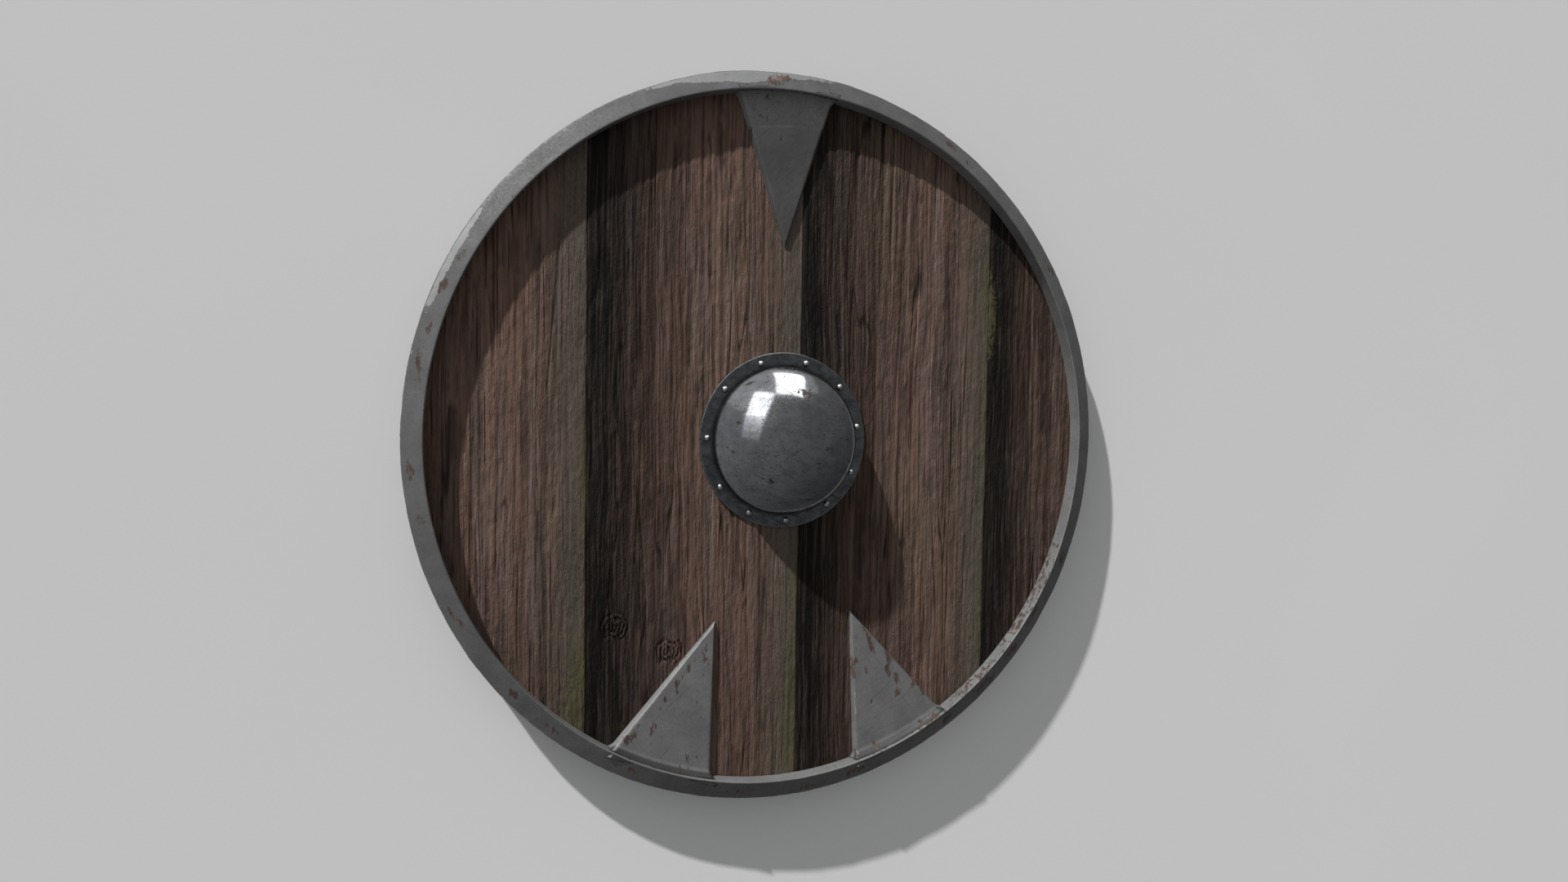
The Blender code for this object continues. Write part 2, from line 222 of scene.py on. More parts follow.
class Look:
    """A material's node tree, with short calls for the nodes that the looks share."""

    def __init__(self, name, **constants):
        self.material = bpy.data.materials.new(name)
        self.material.use_nodes = True
        self.tree = self.material.node_tree
        self.shader = self.tree.nodes["Principled BSDF"]
        for key, value in constants.items():
            self.shader.inputs[key.replace("_", " ")].default_value = value
        self.place = add_node(self.tree, "TexCoord").outputs["Object"]

    def set(self, name, value):
        self.tree.links.new(value, self.shader.inputs[name])

    def attribute(self, name):
        return add_node(self.tree, "Attribute", attribute_name=name).outputs["Fac"]

    def noise(self, scale, detail=2.0, roughness=0.5, distortion=0.0, turn=(0, 0, 0), move=(0, 0, 0),
              place=None):
        mapping = {"Vector": place or self.place, "Scale": scale, "Rotation": turn, "Location": move}
        vector = add_node(self.tree, "Mapping", mapping).outputs[0]
        inputs = {"Vector": vector, "Scale": 1.0, "Detail": detail, "Roughness": roughness,
                  "Distortion": distortion}
        return add_node(self.tree, "TexNoise", inputs).outputs["Fac"]

    def scratches(self, length, width, turn, rarity):
        """Thin straight marks, as long and wide as the given sizes, turned about Z."""
        mapping = {"Vector": self.place, "Scale": (length, width, width), "Rotation": (0, 0, turn)}
        vector = add_node(self.tree, "Mapping", mapping, vector_type="TEXTURE").outputs[0]
        field = add_node(self.tree, "TexNoise", {"Vector": vector, "Scale": 1.0, "Detail": 1.0})
        return self.span(field.outputs["Fac"], rarity, rarity + 0.04)

    def math(self, operation, first, second=0.0):
        return add_node(self.tree, "Math", {0: first, 1: second}, operation=operation).outputs[0]

    def vector(self, operation, *inputs):
        return add_node(self.tree, "VectorMath", dict(enumerate(inputs)), operation=operation).outputs[0]

    def clamp(self, value):
        return add_node(self.tree, "Clamp", {"Value": value}).outputs[0]

    def component(self, vector, axis):
        return add_node(self.tree, "SeparateXYZ", {0: vector}).outputs[axis]

    def along(self, axis, value):
        """A vector with the value on one axis and 0 on the others."""
        return add_node(self.tree, "CombineXYZ", {axis: value}).outputs[0]

    def span(self, value, low, high, to_low=0.0, to_high=1.0):
        inputs = {"Value": value, "From Min": low, "From Max": high, "To Min": to_low, "To Max": to_high}
        return add_node(self.tree, "MapRange", inputs, interpolation_type="SMOOTHSTEP").outputs["Result"]

    def mix(self, share, first, second, blend="MIX"):
        made = add_node(self.tree, "Mix", data_type="RGBA", blend_type=blend)
        for socket, value in ((made.inputs[0], share), (made.inputs[6], first), (made.inputs[7], second)):
            if isinstance(value, bpy.types.NodeSocket):
                self.tree.links.new(value, socket)
            else:
                socket.default_value = (*value, 1.0) if isinstance(value, tuple) else value
        return made.outputs[2]

    def ramp(self, value, stops):
        made = add_node(self.tree, "ValToRGB", {"Fac": value})
        elements = made.color_ramp.elements
        while len(elements) < len(stops):
            elements.new(0.5)
        for element, (position, colour) in zip(elements, stops):
            element.position = position
            element.color = (*colour, 1.0)
        return made.outputs["Color"]

    def bump(self, height, strength, distance, normal=None):
        inputs = {"Height": height, "Strength": strength, "Distance": distance}
        if normal is not None:
            inputs["Normal"] = normal
        return add_node(self.tree, "Bump", inputs).outputs["Normal"]


def wood_look():
    """Weathered boards: reddish brown, black along each board's left, grey and mossy along its right."""
    look = Look("weathered_boards", Specular_IOR_Level=0.15)
    drift = look.noise((11, 4, 11), detail=2)
    place = look.vector("ADD", look.place, look.along("X", look.span(drift, 0, 1, -0.006, 0.006)))
    fibre = look.noise((640, 12, 640), detail=3, roughness=0.6, place=place)
    split = look.noise((300, 5.5, 300), detail=3, roughness=0.6, place=place, move=(9, 1, 0))
    streak = look.noise((190, 4.5, 190), detail=4, roughness=0.6, place=place)
    speckle = look.noise((420, 260, 420), detail=5, roughness=0.7)

    # Brown, mauve and olive streaks, darker in the splits and grooves, with painted shade that darkens them
    # towards the bottom
    brown = look.ramp(streak, (
        (0.30, (0.118, 0.070, 0.052)),
        (0.50, (0.150, 0.091, 0.069)),
        (0.70, (0.186, 0.117, 0.090)),
    ))
    mauve = look.ramp(streak, (
        (0.30, (0.108, 0.070, 0.058)),
        (0.50, (0.138, 0.094, 0.080)),
        (0.70, (0.168, 0.119, 0.103)),
    ))
    olive = look.ramp(streak, ((0.3, (0.085, 0.062, 0.040)), (0.7, (0.165, 0.125, 0.088))))
    hue = look.noise((60, 2.2, 60), detail=3, roughness=0.6, place=place, move=(3, 1, 0))
    patch = look.noise((13, 5, 13), detail=3, place=place, move=(7, 2, 0))
    colour = look.mix(look.span(hue, 0.45, 0.62), brown, mauve)
    colour = look.mix(look.span(patch, 0.52, 0.75, 0, 0.6), colour, olive)
    lines = look.span(fibre, 0.34, 0.50, 0.66, 1.0)
    lines = look.math("MULTIPLY", lines, look.span(split, 0.37, 0.46, 0.46, 1.0))
    hollows_and_painted_shade = look.span(look.attribute("relief"), 0.05, 0.62, 0.62, 1.04)
    hollows_and_painted_shade = look.math("MULTIPLY", hollows_and_painted_shade, look.span(look.attribute("groove"), 0.15, 0.95, 1.0, 0.34))
    # Painted shade: the boards grow darker towards the bottom, standing in for light that falls off there
    lower = look.span(look.component(look.place, "Y"), -0.36, 0.02, 0.80, 1.0)
    hollows_and_painted_shade = look.math("MULTIPLY", hollows_and_painted_shade, lower)
    colour = look.mix(1.0, colour, look.math("MULTIPLY", lines, hollows_and_painted_shade), "MULTIPLY")

    # The black left edge, ragged along the fibres
    shade = look.attribute("shade")
    ragged = look.span(streak, 0.3, 0.7, 0.10, -0.10)
    ragged = look.math("ADD", ragged, look.span(fibre, 0.3, 0.7, 0.13, -0.13))
    ragged = look.math("MULTIPLY", ragged, look.span(shade, 0.0, 0.35, 0.25, 1.0))
    black = look.mix(look.span(fibre, 0.57, 0.70), (0.0048, 0.0034, 0.0026), (0.025, 0.016, 0.011))
    colour = look.mix(look.clamp(look.math("ADD", shade, ragged)), colour, black)

    # The greyed right edge and its moss
    pale = look.clamp(look.math("ADD", look.attribute("pale"), look.span(fibre, 0.3, 0.7, -0.12, 0.12)))
    grey = look.mix(look.span(speckle, 0.3, 0.7), (0.058, 0.051, 0.041), (0.100, 0.090, 0.074))
    colour = look.mix(look.math("MULTIPLY", pale, 0.74), colour, grey)
    green = look.math("ADD", look.attribute("moss"), look.span(speckle, 0.3, 0.7, -0.4, 0.4))
    moss = look.mix(speckle, (0.050, 0.045, 0.020), (0.104, 0.094, 0.046))
    colour = look.mix(look.span(green, 0.25, 0.85, 0.0, 0.80), colour, moss)
    look.set("Base Color", colour)
    look.set("Roughness", look.span(streak, 0.2, 0.8, 0.80, 0.62))

    lumps = look.noise((230, 75, 230), detail=5, roughness=0.68, place=place)
    height = look.math("ADD", look.math("MULTIPLY", fibre, 0.5), look.math("MULTIPLY", split, 0.8))
    height = look.math("ADD", height, look.math("MULTIPLY", lumps, 1.4))
    calm = look.span(look.noise((16, 7, 16), detail=3, move=(1, 8, 2)), 0.36, 0.62, 0.50, 1.15)
    look.set("Normal", look.bump(look.math("MULTIPLY", height, calm), 0.95, 0.0021))
    return look.material


def grip_look():
    """The grip's plainer wood: the same grain, running along X."""
    look = Look("grip_grain", Specular_IOR_Level=0.3)
    streak = look.noise((5, 260, 260), detail=5, roughness=0.65, distortion=0.3)
    wear = look.noise((9, 30, 30), detail=3)
    colour = look.ramp(streak, (
        (0.28, (0.035, 0.020, 0.013)),
        (0.50, (0.095, 0.058, 0.037)),
        (0.72, (0.150, 0.098, 0.064)),
    ))
    colour = look.mix(look.span(wear, 0.35, 0.7, 0, 0.6), colour, (0.060, 0.040, 0.028), "MULTIPLY")
    look.set("Base Color", colour)
    look.set("Roughness", look.span(streak, 0.2, 0.8, 0.75, 0.5))
    look.set("Normal", look.bump(streak, 0.35, 0.0008))
    return look.material


def rim_look():
    """Dull sheet steel: mottled, scratched, brighter along its rubbed edges and in painted sheen at the upper
    left, with painted light and shade in its lightness, and with rust in spots and runs.
    """
    look = Look("rim_worn")
    cloud = look.noise((24, 24, 24), detail=5, roughness=0.6)
    grain = look.noise((330, 330, 330), detail=4, roughness=0.7)
    colour = look.mix(look.span(cloud, 0.3, 0.7), (0.090, 0.090, 0.089), (0.122, 0.122, 0.120))
    # Painted light and shade come in with the lightness: lighter on the inner wall and the top wedge's
    # shadowed part, darker on the lower right, the wedges' roundings and the top wedge's sunlit part.
    colour = look.mix(1.0, colour, look.attribute("tone_and_painted_light"), "MULTIPLY")
    colour = look.mix(look.span(grain, 0.3, 0.7, 0.0, 0.16), colour, (0.02, 0.02, 0.02), "MULTIPLY")
    scratch = look.scratches(0.050, 0.0016, 0.7, 0.70)
    scratch = look.math("MAXIMUM", scratch, look.scratches(0.035, 0.0014, -0.9, 0.71))
    colour = look.mix(look.math("MULTIPLY", scratch, 0.45), colour, (0.040, 0.039, 0.037))

    # Bare metal that also stands in for highlights: painted sheen along the crest and the edge, and in a
    # broad band at the upper left.
    chips = look.noise((75, 75, 75), detail=5, roughness=0.7, move=(1, 4, 0))
    wear = look.math("ADD", look.attribute("wear"), look.span(chips, 0.25, 0.75, -0.20, 0.20))
    worn_and_sheen = look.span(wear, 0.46, 0.56)
    colour = look.mix(worn_and_sheen, colour, look.mix(grain, (0.185, 0.187, 0.185), (0.240, 0.242, 0.240)))

    speck = look.noise((210, 80, 150), detail=5, roughness=0.66)
    spread = look.noise((22, 22, 22), detail=3, move=(5, 3, 0))
    rusty = look.math("ADD", look.attribute("rust"), look.span(spread, 0.3, 0.7, -0.06, 0.34))
    rusty = look.math("ADD", rusty, look.span(speck, 0.3, 0.7, -0.45, 0.45))
    rust = look.span(rusty, 0.62, 0.90)
    rust_colour = look.mix(look.span(speck, 0.40, 0.66), (0.092, 0.047, 0.029), (0.024, 0.012, 0.008))
    colour = look.mix(look.math("MULTIPLY", rust, 0.88), colour, rust_colour)
    look.set("Base Color", colour)
    look.set("Metallic", look.span(rust, 0, 1, 0.25, 0.0))
    rough = look.span(grain, 0.3, 0.7, 0.50, 0.64)
    look.set("Roughness", look.math("ADD", rough, look.math("MULTIPLY", rust, 0.25)))

    height = look.math("ADD", look.math("MULTIPLY", cloud, 1.2), look.math("MULTIPLY", grain, 0.25))
    lower = look.math("ADD", look.math("MULTIPLY", scratch, 0.2), look.math("MULTIPLY", worn_and_sheen, 0.25))
    height = look.math("SUBTRACT", height, lower)
    height = look.math("ADD", height, look.math("MULTIPLY", rust, 0.2))
    look.set("Normal", look.bump(height, 0.24, 0.0012))
    return look.material


def boss_look():
    """Polished dark steel with pits, scratches and small dark stains."""
    look = Look("boss_polished", Metallic=1.0)
    cloud = look.noise((22, 22, 22), detail=4)
    grain = look.noise((420, 420, 420), detail=3, roughness=0.7)
    colour = look.mix(look.span(cloud, 0.3, 0.7), (0.195, 0.203, 0.216), (0.25, 0.257, 0.268))
    mottle = look.noise((75, 110, 90), detail=5, roughness=0.7, turn=(0, 0, 0.4))
    colour = look.mix(look.span(mottle, 0.35, 0.7, 0.0, 0.45), colour, (0.085, 0.088, 0.092))

    # Scratches, stains and the large blotch beside the upper highlight
    scratch = look.scratches(0.080, 0.0014, -0.45, 0.655)
    scratch = look.math("MAXIMUM", scratch, look.scratches(0.070, 0.0012, 0.55, 0.675))
    scratch = look.math("MAXIMUM", scratch, look.scratches(0.050, 0.0012, 1.35, 0.70))
    stain = look.noise((48, 125, 90), detail=5, roughness=0.66, move=(2, 5, 1))
    pit = look.span(stain, 0.625, 0.665)
    middle = {0: look.place, 1: (0.0051, 0.0526, 0.0856)}
    away = add_node(look.tree, "VectorMath", middle, operation="DISTANCE").outputs["Value"]
    uneven = look.span(look.noise((230, 230, 230), detail=3), 0.3, 0.7, -0.006, 0.006)
    blotch = look.span(look.math("ADD", away, uneven), 0.0035, 0.0080, 1.0, 0.0)
    pit = look.math("MAXIMUM", pit, blotch)
    marks = look.math("MAXIMUM", look.math("MULTIPLY", scratch, 0.62), look.math("MULTIPLY", pit, 0.85))

    # The duller flange, painted shade at the base of the dome where it meets the flange, and the flange's
    # rubbed edge
    flange = look.attribute("flange")
    plain = look.mix(look.span(mottle, 0.3, 0.65), (0.108, 0.113, 0.120), (0.048, 0.051, 0.055))
    colour = look.mix(look.math("MULTIPLY", flange, 0.85), colour, plain)
    colour = look.mix(look.math("MULTIPLY", look.attribute("foot"), 0.82), colour, (0.008, 0.008, 0.009))
    colour = look.mix(look.math("MULTIPLY", look.attribute("wear"), 0.5), colour, (0.16, 0.165, 0.17))
    colour = look.mix(marks, colour, look.mix(grain, (0.012, 0.011, 0.009), (0.055, 0.044, 0.028)))
    look.set("Base Color", colour)
    rough = look.span(grain, 0.25, 0.75, 0.07, 0.15)
    rough = look.math("ADD", rough, look.math("MULTIPLY", marks, 0.4))
    rough = look.math("ADD", rough, look.math("MULTIPLY", flange, 0.24))
    look.set("Roughness", rough)

    # The shading normal leans towards the vertical, which puts the highlights where the photo has them.
    facing = add_node(look.tree, "NewGeometry").outputs["Normal"]
    steep = look.math("SUBTRACT", 1.0, look.component(facing, "Z"))
    lift = look.along("Z", look.math("MULTIPLY", look.math("POWER", steep, 2.0), 0.6))
    raised = look.vector("NORMALIZE", look.vector("MULTIPLY_ADD", facing, (0.6, 0.6, 1.0), lift))
    marks = look.math("MULTIPLY", look.math("ADD", pit, scratch), 0.2)
    height = look.math("SUBTRACT", look.math("MULTIPLY", grain, 0.2), marks)
    look.set("Normal", look.bump(height, 0.12, 0.0006, raised))
    return look.material


def small_steel(name, colour, roughness):
    """The plain steel of rivets and nails."""
    look = Look(name, Metallic=1.0)
    grain = look.noise((700, 700, 700), detail=3)
    look.set("Base Color", look.mix(grain, tuple(0.6 * c for c in colour), colour))
    look.set("Roughness", look.span(grain, 0.3, 0.7, roughness, roughness + 0.15))
    look.set("Normal", look.bump(grain, 0.2, 0.0004))
    return look.material


# Boards

# Each knot's middle and radius
KNOTS = ((-0.188, -0.198, 0.0160), (-0.128, -0.229, 0.0160))

# Each kind of ridge in the grain: its noise's seed, its height's share, its width and its length
RIDGES = (
    (2, 0.50, 0.0032, 0.110),
    (3, 0.44, 0.0064, 0.200),
    (4, 0.30, 0.0160, 0.260),
    (5, 0.30, 0.0024, 0.035),
    (6, 0.25, 0.0040, 0.0075),
    (11, 0.20, 0.0070, 0.014),
)
FACE_DEPTH = 0.00062
GROOVE_DEPTH = 0.00110
RIDGE_HEIGHT = 0.00090
LUMP_HEIGHT = 0.00045
EDGE_WEAR = 0.0009
EDGE_WEAR_WIDTH = 0.0022
BLACK_EDGE_WIDTH = 0.122
GREY_EDGE_WIDTH = 0.058

# The moss on each board: each patch's middle and its size, both in X and Y
MOSS = {
    1: ((-0.219, -0.245, 0.020, 0.060), (-0.219, -0.320, 0.026, 0.050), (-0.219, -0.04, 0.010, 0.07)),
    2: ((0.0194, -0.270, 0.018, 0.06), (0.0194, -0.350, 0.022, 0.045), (0.0194, -0.150, 0.010, 0.05)),
    3: ((0.260, 0.19, 0.012, 0.07), (0.260, 0.03, 0.010, 0.08), (0.260, -0.21, 0.012, 0.07)),
    4: ((0.260, 0.15, 0.010, 0.05),),
}


def around_knots(x, y):
    """The grain's sideways shift as it passes the knots, how much of each place is knot, and the rings."""
    shift, inside, rings = 0.0, 0.0, 0.0
    for knot_x, knot_y, radius in KNOTS:
        dx, dy = x - knot_x, y - knot_y
        shift = shift - 0.75 * dx * bell(dx, 0, 1.7 * radius) * bell(dy, 0, 2.6 * radius)
        away = np.hypot(dx, dy)
        wavy = away * (1 + 0.10 * noise(np.arctan2(dy, dx) * 1.9, away / 0.004, 91))
        wavy = wavy + 0.0012 * noise(x / 0.0032, y / 0.0032, 92)
        oval = np.hypot(dx, dy * (0.85 + 0.25 * np.cos(dx / radius * 2.2)))
        here = rounded_step(oval, 1.10 * radius, 0.90 * radius)
        inside = np.maximum(inside, here)
        rings = rings + here * np.cos(wavy * 2 * pi / 0.0041)
    return shift, inside, rings


def grain_height(x, y, seed):
    """The grain's relief, mostly from -1 to 1, and its narrow grooves, from 0 to 1. Both run along Y."""
    shift, inside, rings = around_knots(x, y)
    x = x + shift + 0.0028 * noise(x / 0.075, y / 0.21, seed) + 0.0004 * noise(x / 0.028, y / 0.06, seed + 1)
    ridges = sum(share * noise(x / width, y / length, seed + extra) for extra, share, width, length in RIDGES)
    long = np.clip(1 - np.abs(noise(x / 0.0065, y / 0.240, seed + 7)) / 0.11, 0, 1)
    long = long * rounded_step(noise(x / 0.016, y / 0.085, seed + 8), -0.25, 0.35)
    short = np.clip(1 - np.abs(noise(x / 0.0042, y / 0.120, seed + 9)) / 0.16, 0, 1)
    short = short * rounded_step(noise(x / 0.011, y / 0.032, seed + 10), 0.0, 0.5)
    grooves = np.maximum(long, 0.6 * short) * (1 - inside)
    grooves = np.maximum(grooves, 0.8 * np.clip(-rings * 1.4, 0, 1) * inside)
    return ridges * (1 - 0.6 * inside) + 0.60 * rings * inside, grooves


def board_face(x, y, left, right, seed):
    """How far the face lies under the board's full thickness, in metres, with its relief and grooves."""
    height, grooves = grain_height(x, y, seed)
    calm = 1 - 0.55 * rounded_step(x, right - 0.034, right - 0.010)
    lumps = np.maximum(noise(x / 0.006, y / 0.009, seed + 20), 0)
    lumps = lumps * rounded_step(x, right - 0.026, right - 0.012)
    depth = FACE_DEPTH + calm * (GROOVE_DEPTH * grooves - RIDGE_HEIGHT * height) - LUMP_HEIGHT * lumps
    from_edge = np.minimum(x - left, right - x)
    wear_width = EDGE_WEAR_WIDTH * (1 + 0.4 * noise(seed, y / 0.012, seed + 30))
    depth = depth + EDGE_WEAR * np.clip(1 - from_edge / wear_width, 0, 1) ** 2
    return np.clip(depth, 0.00004, 0.0026), np.clip(0.5 + 0.5 * height, 0, 1), grooves * calm


def board_shades(x, y, number, left, right):
    """Shares of the black left edge, the greyed right edge and the moss."""
    if number == 1:
        shade = 0.25 * rounded_step(x, -0.330, -0.395)
    else:
        shade = 1.12 - (x - left) / BLACK_EDGE_WIDTH
    if number == 4:
        pale = np.zeros_like(x)
    else:
        pale = 1.25 * (1 - (right - x) / GREY_EDGE_WIDTH)
    moss = sum(bell(x, middle_x, size_x) * bell(y, middle_y, size_y)
               for middle_x, middle_y, size_x, size_y in MOSS[number])
    return np.clip(shade, 0, 1), np.clip(pale, 0, 1), moss


def seam_wave(seam, up):
    """A seam's small sideways wander in metres, the same for the boards on both of its sides."""
    if abs(seam) > PLANK_RADIUS:
        return 0.0
    y = up * sqrt(PLANK_RADIUS**2 - seam**2)
    seed = round(abs(seam) * 10000)
    return 0.0010 * noise(y / 0.055, 0.5, seed) + 0.0005 * noise(y / 0.017, 1.5, seed)


def board_faces(used, back):
    """A board's fine face, its coarser back and its edges.

    The first array says which places of the face's grid have a point on the back too. The second
    gives that point's number.
    """
    rows, columns = used.shape
    faces = grid_faces(rows, columns)
    step = BACK_STEP
    for row in range(0, rows - 1, step):
        for column in range(0, columns - 1, step):
            bottom = [(row, column + k) for k in range(step if row == 0 else 1)]
            right = [(row + k, column + step) for k in range(step if column + step == columns - 1 else 1)]
            top = [(row + step, column + step - k) for k in range(step if row + step == rows - 1 else 1)]
            left = [(row + step - k, column) for k in range(step if column == 0 else 1)]
            loop = bottom + right + top + left
            faces.append([int(back[place]) for place in reversed(loop)])
    border = [(0, column) for column in range(columns - 1)]
    border += [(row, columns - 1) for row in range(rows - 1)]
    border += [(rows - 1, column) for column in range(columns - 1, 0, -1)]
    border += [(row, 0) for row in range(rows - 1, 0, -1)]
    for here, following in zip(border, border[1:] + border[:1]):
        a, b = here[0] * columns + here[1], following[0] * columns + following[1]
        faces.append((b, a, int(back[here]), int(back[following])))
    return faces


def holes_in_boards():
    """The hand hole and the holes of the rivets and nails, as one mesh."""
    above, nail_top = 0.04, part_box("grip_nail_1")[1].z + 0.0003
    holes = [(0, 0, HAND_HOLE_RADIUS, 128, above)]
    holes += [(x, y, RIVET_HOLE_RADIUS, HOLE_SIDES, above) for x, y in node_centres("boss_rivet_")]
    holes += [(x, y, NAIL_HOLE_RADIUS, HOLE_SIDES, nail_top) for x, y in node_centres("grip_nail_")]
    return drill("holes", holes, bottom=0.01)


def build_board(number, left, right, look):
    seed = 100 * number
    # The outer boards stop just inside their circle, where a column of the grid would shrink to a point.
    reach = 0.9992 * PLANK_RADIUS
    start, end = max(left + PLANK_GAP / 2, -reach), min(right - PLANK_GAP / 2, reach)
    columns = BACK_STEP * round((end - start) / COLUMN_WIDTH / BACK_STEP) + 1
    rows = ROWS + 1
    up = np.linspace(-1, 1, rows)[:, None]
    first, last = start + seam_wave(left, up), end + seam_wave(right, up)
    x = first + (last - first) * np.linspace(0, 1, columns)[None, :]
    y = up * np.sqrt(PLANK_RADIUS**2 - x**2)
    depth, relief, grooves = board_face(x, y, left, right, seed)
    shade, pale, moss = board_shades(x, y, number, left, right)
    back_height, back_grooves = grain_height(-x, y, seed + 50)
    back_depth = np.clip(0.00025 - 0.00022 * back_height, 0.00002, 0.0007)

    used = np.zeros((rows, columns), bool)
    used[::BACK_STEP, ::BACK_STEP] = True
    used[[0, -1], :] = True
    used[:, [0, -1]] = True
    front = np.stack([x, y, PLANK_FRONT_Z - depth], -1).reshape(-1, 3)
    back = np.stack([x, y, PLANK_BACK_Z + back_depth], -1)[used]
    back_index = np.full((rows, columns), -1)
    back_index[used] = len(front) + np.arange(len(back))

    values = {
        "relief": (relief, np.clip(0.5 + 0.5 * back_height, 0, 1)),
        "groove": (grooves, 0.5 * back_grooves),
        "shade": (shade, np.zeros_like(x)),
        "pale": (pale, np.zeros_like(x)),
        "moss": (moss, np.zeros_like(x)),
    }
    attributes = {key: np.concatenate([face.reshape(-1), behind[used]])
                  for key, (face, behind) in values.items()}
    points = np.concatenate([front, back]).tolist()
    board = new_piece(f"board_{number}", points, board_faces(used, back_index), attributes)
    combine(board, [holes_in_boards()], "DIFFERENCE")
    finish_piece(board, look, f"plank_{number}", 50)


# Rim

# Rust on the rim: each spot's bearing, its distance from the middle, and its size in degrees
RUST_SPOTS = (
    (-2.0, 0.394, 2.2), (-3.5, 0.388, 1.4), (30.0, 0.392, 2.5), (34.0, 0.387, 1.5), (58.0, 0.392, 2.0),
    (112.0, 0.390, 2.6), (124.0, 0.386, 2.5), (131.0, 0.388, 3.0), (139.0, 0.389, 2.2), (148.0, 0.392, 2.0),
    (167.0, 0.390, 2.8), (176.0, 0.394, 2.2), (188.0, 0.391, 2.4), (206.0, 0.389, 1.8), (221.0, 0.392, 2.4),
    (229.0, 0.389, 1.8), (243.0, 0.391, 1.5), (258.0, 0.389, 1.6), (266.0, 0.392, 1.6), (281.0, 0.390, 2.6),
    (286.5, 0.389, 1.8), (293.0, 0.391, 2.0), (298.0, 0.390, 1.4),
)


def divided(profile, pitch):
    """The profile's points with more between them, so that no gap is much over the pitch."""
    found = []
    for (r0, z0), (r1, z1) in zip(profile, profile[1:] + profile[:1]):
        pieces = max(1, round(hypot(r1 - r0, z1 - z0) / pitch))
        found += [(r0 + (r1 - r0) * k / pieces, z0 + (z1 - z0) * k / pieces) for k in range(pieces)]
    return found


def rim_profile():
    """The folded sheet's section, from the inner wall over the crest and round the back to the inside."""
    outer, inner, sheet = OUTER_RADIUS, CREST_RADIUS, RIM_SHEET
    slope = RIM_FALL / (outer - inner)
    lean = -degrees(atan2(RIM_FALL, outer - inner))
    crest, edge = 0.0011, 0.0016
    shoulder = CREST_Z - RIM_FALL
    wall_end, fold_end = 0.0310, PLANK_BACK_Z - 0.0003
    profile = [(inner, wall_end)]
    profile += arc((inner + crest, CREST_Z - crest - 0.0002), crest, 180, 90 + lean, 6)
    profile += arc((outer - edge, shoulder - edge + 0.0006), edge, 90 + lean, 0, 6)
    profile += arc((outer - edge, edge), edge, 0, -90, 4)
    profile += arc((inner + edge, edge), edge, -90, -180, 4)
    profile += [(inner, fold_end), (inner + sheet, fold_end), (inner + sheet, sheet)]
    profile += [(outer - sheet, sheet), (outer - sheet, shoulder - sheet)]
    profile += [(inner + sheet, CREST_Z - sheet * (1 + slope)), (inner + sheet, wall_end)]
    return divided(profile, 0.0024)


def way_round(bearing):
    """The distance along the rim's edge from the top, in centimetres."""
    return np.radians(bearing) * (100 * OUTER_RADIUS)


def rim_push(bearing, r, z):
    """Small dents of the rim in metres outwards and upwards, and the flattened stretch at its top."""
    way = way_round(bearing)
    outside = rounded_step(r, CREST_RADIUS + 0.012, OUTER_RADIUS)
    front = rounded_step(z, 0.036, 0.041)
    flat = -0.0007 * bell(bearing, 0, 4.5) + 0.0006 * (bell(bearing, 8.5, 2.6) + bell(bearing, -11, 2.6))
    out = outside * (flat + 0.00030 * noise(way / 2.2, 0.5, 7) + 0.00018 * noise(way / 0.55, z / 0.01, 8))
    out = out - outside * front * 0.0007 * rounded_step(noise(way / 0.8, 3.5, 9), 0.62, 0.95)
    up = front * (0.00018 * noise(way / 1.4, r / 0.012, 10) + 0.00010 * noise(way / 0.35, r / 0.005, 11))
    crest = rounded_step(r, CREST_RADIUS + 0.004, CREST_RADIUS) * front
    up = up - crest * 0.0006 * rounded_step(noise(way / 0.6, 6.5, 12), 0.65, 0.95)
    return np.minimum(out, 0.0012), up - 0.0002 * front


def facing_bearing(bearing, middle, start, end):
    """1 around the middle bearing and 0 away from it. The limits are cosines of the angle between."""
    return rounded_step(np.cos(np.radians(bearing - middle)), start, end)


def rim_wear_and_sheen(bearing, r, front):
    """Bare metal that is partly painted highlight: thin lines along the crest and the edge, and a broad
    uneven band of painted sheen at the upper left, facing the sun.
    """
    way = way_round(bearing)
    width = 0.0016 + 0.0018 * noise(way / 1.6, 0.5, 21) + 0.0010 * noise(way / 0.5, 0.5, 22)
    width = width + 0.0058 * bell(bearing, -64, 9.0) + 0.0120 * bell(bearing, -8, 10.0)
    band = np.clip(0.5 + (r - OUTER_RADIUS + np.maximum(width, 0.0006)) / 0.008, 0, 1)
    # The band of painted sheen keeps to the upper left, which faces the sun.
    band = band * facing_bearing(bearing, -28, 0.55, 0.80)
    band = band * (1 - 0.8 * rounded_step(r, OUTER_RADIUS - 0.0014, OUTER_RADIUS - 0.0005))
    crest = 0.33 * bell(r, CREST_RADIUS + 0.0008, 0.0012)
    edge = 0.38 * bell(r, OUTER_RADIUS - 0.0010, 0.0014)
    return front * np.maximum(np.maximum(crest, edge), band)


